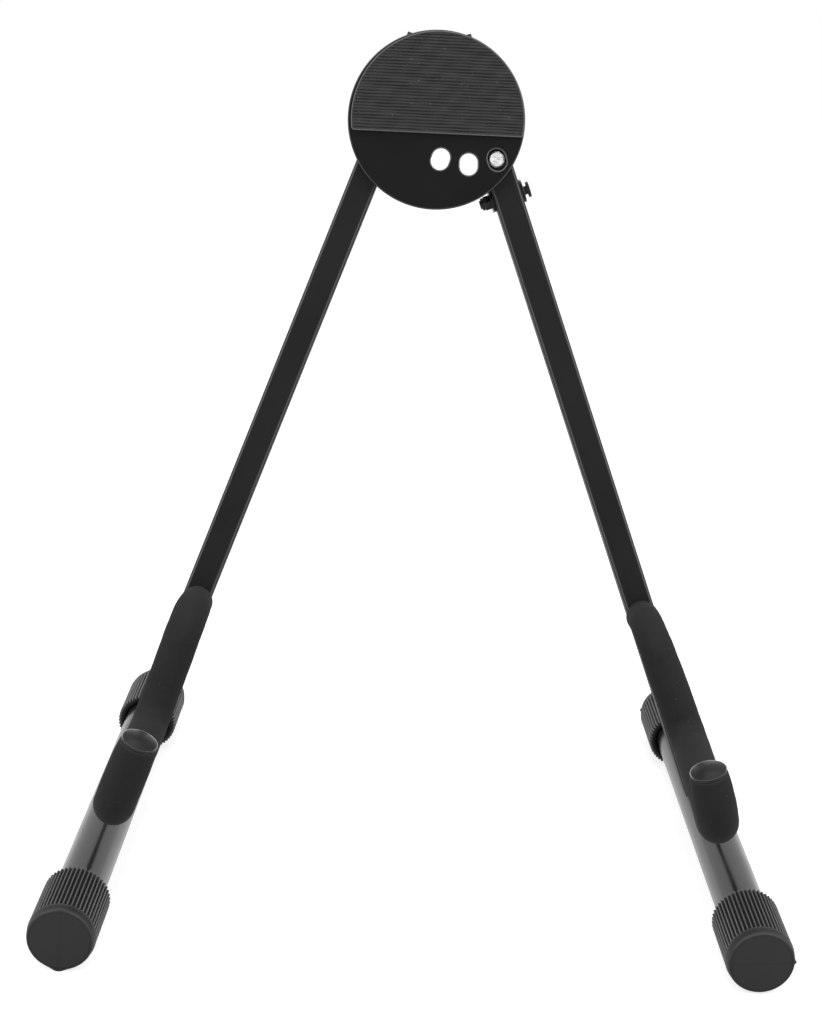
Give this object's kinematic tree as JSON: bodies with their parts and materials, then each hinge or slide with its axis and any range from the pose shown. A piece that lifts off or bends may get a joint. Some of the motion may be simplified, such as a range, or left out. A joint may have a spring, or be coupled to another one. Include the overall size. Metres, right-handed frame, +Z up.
{
  "type": "cello stand",
  "caption": "Folding floor stand for a cello: splayed legs on long rubber-capped foot tubes, a round ribbed head pad, sleeved hook arms and a sprung lock lever.",
  "frame": {"origin": "on the floor, midway between the feet and midway along their length", "axes": "+Z up, +Y towards the back of the stand, +X to the right seen from the front, where the folding leg is"},
  "size_m": [0.394, 0.324, 0.4528],
  "materials": {
    "plate_black": "satin black powder coat",
    "leg_black": "satin black powder coat",
    "foot_black": "gloss black powder coat",
    "black_steel": "satin black zinc",
    "pad_rubber": "ribbed dark grey rubber",
    "cap_rubber": "matte black rubber",
    "sleeve_rubber": "matte foamed black rubber",
    "plug_gloss": "gloss black",
    "plug_matt": "satin black",
    "washer_nylon": "natural",
    "zinc_steel": "zinc plated",
    "rod_steel": "drawn",
    "spring_steel": "bright wire",
    "pin_steel": "turned, bright"
  },
  "bodies": {
    "stand": {"head_plate": "plate_black", "head_pad": "pad_rubber", "pivot_bolt": "zinc_steel", "pivot_bush": "zinc_steel", "pivot_washers": "washer_nylon", "pivot_nut": "zinc_steel", "left_leg_screws": "zinc_steel", "left_leg_spacers": "zinc_steel", "left_leg_nuts": "zinc_steel", "left_leg": "leg_black", "left_leg_plug": "plug_matt", "left_foot_tube": "foot_black", "left_front_cap": "cap_rubber", "left_rear_cap": "cap_rubber", "left_arm_rod": "rod_steel", "left_arm_sleeve": "sleeve_rubber", "left_arm_plug": "plug_gloss", "left_arm_screw": "zinc_steel"},
    "folding_leg": {"right_leg": "leg_black", "right_leg_plug": "plug_matt", "right_foot_tube": "foot_black", "right_front_cap": "cap_rubber", "right_rear_cap": "cap_rubber", "right_arm_rod": "rod_steel", "right_arm_sleeve": "sleeve_rubber", "right_arm_plug": "plug_gloss", "right_arm_screw": "zinc_steel", "lever_bolt": "black_steel", "lever_nut": "black_steel", "lock_spring": "spring_steel"},
    "lever": {"lock_lever": "black_steel", "lock_pin": "pin_steel"}
  },
  "joints": [
    {"name": "leg_fold", "type": "hinge", "parent": "stand", "child": "folding_leg", "pos_m": [0.018, 0.1096, 0.42537], "axis": [0, 0.9796, -0.2011], "range_deg": [0, 38]},
    {"name": "lever_tilt", "type": "hinge", "parent": "folding_leg", "child": "lever", "pos_m": [0.04217, 0.09639, 0.36102], "axis": [-0.9385, -0.0694, -0.3382], "range_deg": [0, 12], "stiffness_Nm_per_rad": 1.2, "springref_deg": -11.46, "deforming": ["lock_spring"]}
  ]
}
